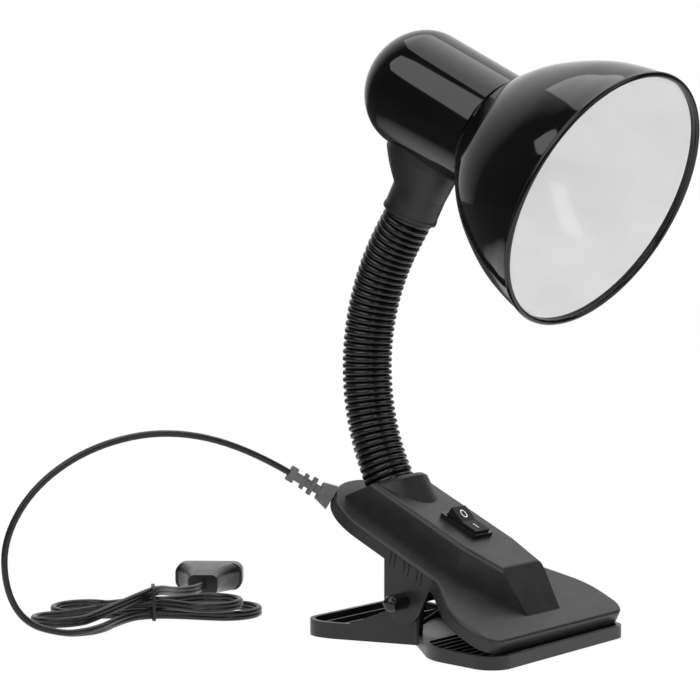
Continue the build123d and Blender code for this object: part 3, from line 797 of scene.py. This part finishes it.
    def twist_tie(self) -> bpy.types.Object:
        """Make the tie: a flat strip round the bundle and its two ends twisted together.

        Returns:
            The tie.
        """
        tie, along = Vector(self.tie), self.toward(self.tie_turn)
        across = self.toward(self.tie_turn + 90)
        half, low, high, bend = self.band_half, self.band_low, self.band_high, self.band_bend
        path = []
        for side, level, start in ((-1, high, 180), (1, high, 90), (1, low, 0), (-1, low, 270)):
            for i in range(6):
                angle = math.radians(start - 18 * i)
                out = side * (half - bend) + bend * math.cos(angle)
                rise = level - bend * (1 if level == high else -1) + bend * math.sin(angle)
                path.append((tie + across * out + Vector((0, 0, rise))) * MM)
        path = [*path, path[0]]
        strip = [(-0.8, -0.15), (-0.7, -0.25), (0.7, -0.25), (0.8, -0.15)]
        strip += [(-w, -d) for w, d in strip]
        band = tube("tie_band", path, [along] * len(path), strip)
        start = tie - across * self.tail_side + Vector((0, 0, self.tail_height))
        way = (self.toward(self.tail_turn) + Vector((0, 0, self.tail_slope))).normalized()
        upright = Vector((0, 0, 1))
        aside = way.cross(upright)
        steps = 14 * self.tail_twists
        wides, line = [], []
        for i in range(steps + 1):
            angle = 2 * math.pi * self.tail_twists * i / steps
            wides.append(upright * math.cos(angle) + aside * math.sin(angle))
            line.append((start + way * self.tail_mm * i / steps) * MM)
        ends = tube("twist_tie", line, wides, [(w, 1.8 * d) for w, d in strip])
        idle()
        band.select_set(True)
        ends.select_set(True)
        bpy.context.view_layer.objects.active = ends
        bpy.ops.object.join()
        smooth(ends, 45)
        return dress(ends, TIE_PVC, "clip_plastic", Body.LOWER.value, "cord_tie")

    def build(self) -> bpy.types.Object:
        """Returns:
            The cord.
        """
        tie = self.twist_tie()
        path = self.centreline()
        wides, gone = [], 0.0
        flat, upright = Vector((0.768, -0.640, 0)), Vector((0, 0, 1))
        for i, here in enumerate(path):
            gone += (here - path[i - 1]).length / MM if i else 0
            share = min(max((gone - self.upright_from) / self.upright_over, 0), 1)
            wides.append(flat.lerp(upright, share * share * (3 - 2 * share)))
        cord = tube("mains_cord", path, wides, self.section())
        smooth(cord, 50)
        dress(cord, CORD_PVC, "cord_rubber", "", "cord_lead", "cord_hank")
        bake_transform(cord)
        return cord


@dataclass(frozen=True)
class RibbedNeck:
    """Corrugated sleeve over a wound steel core, in one bending length for each neck joint."""

    base: tuple[float, float, float] = (-35.1, 0, 69.2)
    seat_tilt: float = -23
    tilt: float = -31.3
    links: int = 14
    turn: float = 4.85
    end_tilt: float = 34
    collar_tilt: float = 28.5
    pitch: float = 3.14
    crest: float = 11.6
    groove: float = 10.0
    core: float = 6.0
    rib_power: float = 3.2
    rib_parts: int = 12
    wire_mark: float = 0.35

    def lean(self, number: int) -> float:
        """Give the angle of a link from upright.

        Args:
            number: The link's number, 0 being the seat and one past the last link the collar.

        Returns:
            The angle in radians.
        """
        if number in (0, self.links + 1):
            return math.radians(self.collar_tilt if number else self.seat_tilt)
        return math.radians(min(self.tilt + self.turn * number, self.end_tilt))

    def way(self, number: int) -> Vector:
        """Give the direction of a link.

        Args:
            number: The link's number, 0 being the seat and one past the last link the collar.

        Returns:
            The direction, one unit long.
        """
        return Vector((math.sin(self.lean(number)), 0, math.cos(self.lean(number))))

    def joints(self) -> list[Vector]:
        """Find the neck's joints.

        Returns:
            Their places in millimetres, lowest first.
        """
        at, places = Vector(self.base), []
        for number in range(1, self.links + 2):
            places.append(at.copy())
            at += self.way(number) * 3 * self.pitch
        return places

    def onto_arc(self, piece: bpy.types.Object, number: int, at: Vector) -> None:
        """Bend a straight length to the neck's curve and put it at its joint.

        Args:
            piece: The straight length along Z with its joint at the origin.
            number: The joint's number, from 1.
            at: The joint's place in millimetres.
        """
        before, after = self.lean(number - 1), self.lean(number)
        half = (after - before) / 2 or 1e-5
        reach = 1.5 * self.pitch
        middle = (before + after) / 2
        bow = reach / math.tan(half)
        side = Vector((math.cos(middle), 0, -math.sin(middle)))
        start = at + side * (bow / math.cos(half) - bow)
        for vertex in piece.data.vertices:
            x, y, z = vertex.co / MM
            angle = middle + z / reach * half
            c, s = math.cos(angle), math.sin(angle)
            along = Vector((math.cos(middle) - c, 0, s - math.sin(middle))) * bow
            vertex.co = (start + along + Vector((c * x, y, -s * x))) * MM

    def ribs(self, name: str, first: int, last: int) -> bpy.types.Object:
        """Turn a length of the sleeve.

        Args:
            name: The piece's name.
            first: Number of its lowest rib, 0 being the one at the joint.
            last: Number of its highest rib.

        Returns:
            The straight length.
        """
        deep = self.crest - self.groove
        profile = []
        for rib in range(first, last + 1):
            for i in range(self.rib_parts):
                t = -1 + 2 * i / self.rib_parts
                swell = 1 - abs(t) ** self.rib_power
                profile.append((self.groove + deep * swell, self.pitch * (rib + t / 2)))
        profile.append((self.groove, self.pitch * (last + 0.5)))
        return lathe(name, profile, 56)

    def build(self) -> None:
        """Make the sleeve and core lengths, each bending over its joint."""
        for number, at in enumerate(self.joints(), start=1):
            first = 0 if number == 1 else -1
            last = 0 if number == self.links + 1 else 1
            sleeve = self.ribs(f"neck_sleeve_{number:02d}", first, last)
            wound = [
                (self.core - self.wire_mark * abs(math.cos(math.pi * i / 2)), self.pitch * (i / 4 - 1.5))
                for i in range(13)
            ]
            core = lathe(f"neck_core_{number:02d}", wound, 24)
            foot = at - self.way(number - 1) * 1.5 * self.pitch
            head = at + self.way(number) * 1.5 * self.pitch
            for piece, finish, slot in (
                (sleeve, SLEEVE_PP, "sleeve_plastic"),
                (core, SPRING_WIRE, "steel"),
            ):
                self.onto_arc(piece, number, at)
                smooth(piece, 60)
                dress(piece, finish, slot, "")
                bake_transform(piece)
            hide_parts(f"neck_link_{min(number, self.links):02d}")
            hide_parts("neck_core", "lamp_flex")


@dataclass(frozen=True)
class LampHead:
    """Spun bell shade and the domed cap behind it."""

    mouth: tuple[float, float, float] = (83.6, -4, 198.2)
    tilt: float = 27.5
    yaw: float = -2.6
    rim: float = 60.5
    bead: float = 1.3
    cap_front: float = 27.9
    cap_back: float = 28.1
    cap_start: float = 63.9
    cap_end: float = 114.2
    dome: float = 24.4
    sheet: float = 1.2
    bead_height: float = 0.6
    roll_start: float = 62
    roll_sweep: float = 304
    lining_from: float = 3.6

    def place(self) -> Matrix:
        """Give the frame of the head.

        Returns:
            The frame, with its origin in the mouth and Z to the back.
        """
        tilt, yaw = math.radians(self.tilt), math.radians(self.yaw)
        c, s = math.cos(tilt), math.sin(tilt)
        way = Vector((c * math.cos(yaw), c * math.sin(yaw), -s))
        up = Vector((s * math.cos(yaw), s * math.sin(yaw), c))
        return axes(Vector(self.mouth) * MM, up, -way)

    def bell(self) -> bpy.types.Object:
        """Make the shade, black outside and white inside.

        Returns:
            The shade.
        """
        outer = eased(
            [(22.6, 68), (28.4, 63), (35.7, 56), (43.7, 46), (50.5, 34), (55.6, 22), (58.6, 10),
             (59.75, 2.2)], 6,
        )
        inner = eased(
            [(58.4, 2.4), (57.4, 9.8), (54.5, 21.6), (49.4, 33.5), (42.7, 45.3), (34.8, 55.2),
             (27.5, 62.1), (22.0, 66.8)], 6,
        )
        roll, steps = [], 14
        middle = self.rim - self.bead
        for i in range(steps + 1):
            angle = math.radians(self.roll_start - self.roll_sweep * i / steps)
            height = self.bead_height + self.bead * math.sin(angle)
            roll.append((middle + self.bead * math.cos(angle), height))
        profile = [*outer, *roll, *inner, (18.8, 66.8), (18.8, 68), outer[0]]
        bell = lathe("shade_bell_enamel", profile, 144)
        bell.data.materials.append(BLACK_ENAMEL.build())
        bell.data.materials.append(WHITE_LINING.build())
        for face in bell.data.polygons:
            out = Vector((face.center.x, face.center.y, 0))
            inward = face.normal.dot(out.normalized()) < -0.2 or face.normal.z < -0.5
            face.material_index = int(inward and face.center.z > self.lining_from * MM)
        settle(bell, self.place())
        smooth(bell, 40)
        return dress(bell, BLACK_ENAMEL, "enamel", Body.HEAD.value, "shade_bell")

    def cap(self) -> bpy.types.Object:
        """Make the domed cap.

        Returns:
            The cap.
        """
        front, back, thin = self.cap_front, self.cap_back, self.sheet
        outer = [(front - 0.3, self.cap_start), (front, self.cap_start + 0.3)]
        outer += [
            (front + (back - front) * i / 6, self.cap_start + (self.cap_end - self.cap_start) * i / 6)
            for i in range(1, 6)
        ]
        outer += [
            (back * math.cos(a), self.cap_end + self.dome * math.sin(a))
            for a in (math.radians(90 * i / 24) for i in range(25))
        ]
        inner = [
            ((back - thin) * math.cos(a), self.cap_end + (self.dome - thin) * math.sin(a))
            for a in (math.radians(90 - 90 * i / 12) for i in range(13))
        ]
        profile = [*outer, *inner, (front - thin, self.cap_start + 1.3), outer[0]]
        cap = lathe("holder_cap_enamel", profile, 96)
        settle(cap, self.place())
        smooth(cap, 40)
        return dress(cap, BLACK_ENAMEL, "enamel", Body.HEAD.value, "holder_cap")

    def build(self) -> None:
        """Make the shade and the cap."""
        self.bell()
        self.cap()


@dataclass(frozen=True)
class HingeSpring:
    """Torsion spring round the hinge pin, one leg under the cover and one in the tray."""

    radius: float = 6.5
    wire: float = 1.1
    start: float = 53
    turns: float = 1550
    pitch: float = 2.7
    across: float = 5.8
    legs: tuple[float, float] = (31, 21)
    leg_start: float = 1.5

    def build(self) -> None:
        """Make the wound wire and its two legs, between the two jaws."""
        steps, path = 156, []
        for step in range(steps + 1):
            gone = self.turns * step / steps
            angle = math.radians(self.start - gone)
            path.append(
                Vector(
                    (self.radius * math.cos(angle), self.across - self.pitch * gone / 360,
                     PIN_Z + self.radius * math.sin(angle))
                )
            )
        begin, end = math.radians(self.start), math.radians(self.start - self.turns)
        rise = -self.pitch / (2 * math.pi * self.radius)
        first = Vector((math.sin(begin), rise, -math.cos(begin))).normalized()
        last = Vector((math.sin(end), rise, -math.cos(end))).normalized()
        path = [path[0] - first * self.legs[0], path[0] - first * self.leg_start, *path]
        path += [path[-1] + last * self.leg_start, path[-1] + last * self.legs[1]]
        path = [p * MM for p in path]
        wides = [Vector((0, 1, 0))] * len(path)
        spring = tube("torsion_spring_wire", path, wides, circle(self.wire, 12))
        smooth(spring, 60)
        dress(spring, SPRING_WIRE, "steel", "", "torsion_spring")
        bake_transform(spring)


@dataclass(frozen=True)
class RockerMarks:
    """White ring and bar printed on the two halves of the rocker."""

    switch_r: float = 65
    housing_top: float = 13
    rocker_tilt: float = 10
    half_rise: float = 10.1
    middle: tuple[float, float] = (4.2, 3.85)
    ring: tuple[float, float] = (1.4, 1.9)
    bar: tuple[float, float] = (3.6, 0.6)
    stretch: float = 1.2
    thick: float = 0.06
    edge: float = 0.02

    def place(self, side: int) -> Matrix:
        """Give the frame on one half of the rocker.

        Args:
            side: 1 for the rear half, -1 for the front half.

        Returns:
            The frame, with X up the slope and Z out of the face.
        """
        slope, tilt = math.radians(SLOPE), math.radians(self.rocker_tilt)
        rear = Vector((-math.cos(slope), 0, math.sin(slope)))
        out = Vector((math.sin(slope), 0, math.cos(slope)))
        a, b = self.middle[0] * side, self.middle[1]
        r = self.switch_r + a * math.cos(tilt) - b * math.sin(tilt)
        w = self.housing_top + a * math.sin(tilt) + b * math.cos(tilt)
        face = tilt + side * math.radians(self.half_rise)
        x_way = rear * math.cos(face) + out * math.sin(face)
        z_way = out * math.cos(face) - rear * math.sin(face)
        return axes((PLATE_FRONT + rear * r + out * w) * MM, x_way, z_way)

    def build(self) -> None:
        """Make the two marks, riding on the rocker."""
        inner, outer = self.ring
        profile = [(inner, 0), (outer, 0), (outer, self.thick), (inner, self.thick), (inner, 0)]
        ring = lathe("rocker_mark_ring", profile, 40)
        settle(ring, self.place(1) @ Matrix.Diagonal((self.stretch, 1, 1, 1)))
        line = bar("rocker_mark_bar", (*self.bar, 2 * self.thick), self.edge)
        settle(line, self.place(-1))
        for mark in (ring, line):
            dress(mark, MARK_WHITE, "switch_plastic", Body.ROCKER.value)


@dataclass(frozen=True)
class EarRibs:
    """Pairs of short moulded ribs at the top of the near hinge ear."""

    face_y: float = -37
    foots: tuple[tuple[float, float], ...] = ((-7, 40.5), (0.5, 36.8), (7.5, 33.4))
    size: tuple[float, float, float] = (0.7, 0.8, 6.5)
    apart: float = 2.4
    drop: float = 1.1
    lean: float = 12
    edge: float = 0.25

    def build(self) -> None:
        """Model one rib and copy it to each place."""
        first = bar("ear_rib_01", self.size, self.edge)
        ribs = [first]
        for number in range(2, 2 * len(self.foots) + 1):
            copy = bpy.data.objects.new(f"ear_rib_{number:02d}", first.data.copy())
            bpy.context.scene.collection.objects.link(copy)
            ribs.append(copy)
        lean = math.radians(self.lean)
        up = Vector((math.sin(lean), 0, math.cos(lean)))
        for index, rib in enumerate(ribs):
            x, z = self.foots[index // 2]
            at = Vector((x + self.apart * (index % 2), self.face_y, z - self.drop * (index % 2)))
            settle(rib, axes(at * MM, Vector((1, 0, 0)), up))
            smooth(rib, 40)
            dress(rib, CLIP_ABS, "clip_plastic", Body.UPPER.value)


KEPT_NODES: dict[str, tuple[Finish, str]] = {
    "upper_casing": (CLIP_ABS, "clip_plastic"),
    "lower_jaw": (CLIP_ABS, "clip_plastic"),
    "bottom_cover": (CLIP_ABS, "clip_plastic"),
    "neck_socket": (CLIP_ABS, "clip_plastic"),
    "cover_screws": (ZINC_STEEL, "steel"),
    "saddle_screws": (ZINC_STEEL, "steel"),
    "neck_base_ferrule": (ZINC_STEEL, "steel"),
    "neck_base_nut": (ZINC_STEEL, "steel"),
    "neck_head_ferrule": (ZINC_STEEL, "steel"),
    "neck_head_nut": (ZINC_STEEL, "steel"),
    "hinge_pin": (SWITCH_NYLON, "pin_plastic"),
    "pin_cap": (SWITCH_NYLON, "pin_plastic"),
    "switch_body": (SWITCH_NYLON, "switch_plastic"),
    "rocker": (ROCKER_NYLON, "switch_plastic"),
    "switch_terminals": (BRASS, "brass"),
    "strain_relief": (RELIEF_PVC, "relief_rubber"),
    "lampholder": (HOLDER_RESIN, "holder_plastic"),
    "shade_ring": (HOLDER_RESIN, "holder_plastic"),
    "thread_shell": (BRASS, "brass"),
    "centre_contact": (BRASS, "brass"),
    "holder_terminals": (BRASS, "brass"),
    "plug_body": (CORD_PVC, "cord_rubber"),
    "plug_pins": (ZINC_STEEL, "steel"),
}


def finish_kept_nodes() -> None:
    """Give every CAD node that stays its finish."""
    for name, (finish, slot) in KEPT_NODES.items():
        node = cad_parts[name]
        node.data.materials.clear()
        node.data.materials.append(finish.build())


def main() -> None:
    """Build the lamp, its light and its camera."""
    logging.basicConfig(level=logging.INFO, format="%(message)s")
    view = Viewpoint()
    view.build()
    Studio().build(view)
    finish_kept_nodes()
    MainsCord().build()
    RibbedNeck().build()
    LampHead().build()
    HingeSpring().build()
    RockerMarks().build()
    EarRibs().build()
    idle()


if __name__ == "__main__":
    main()
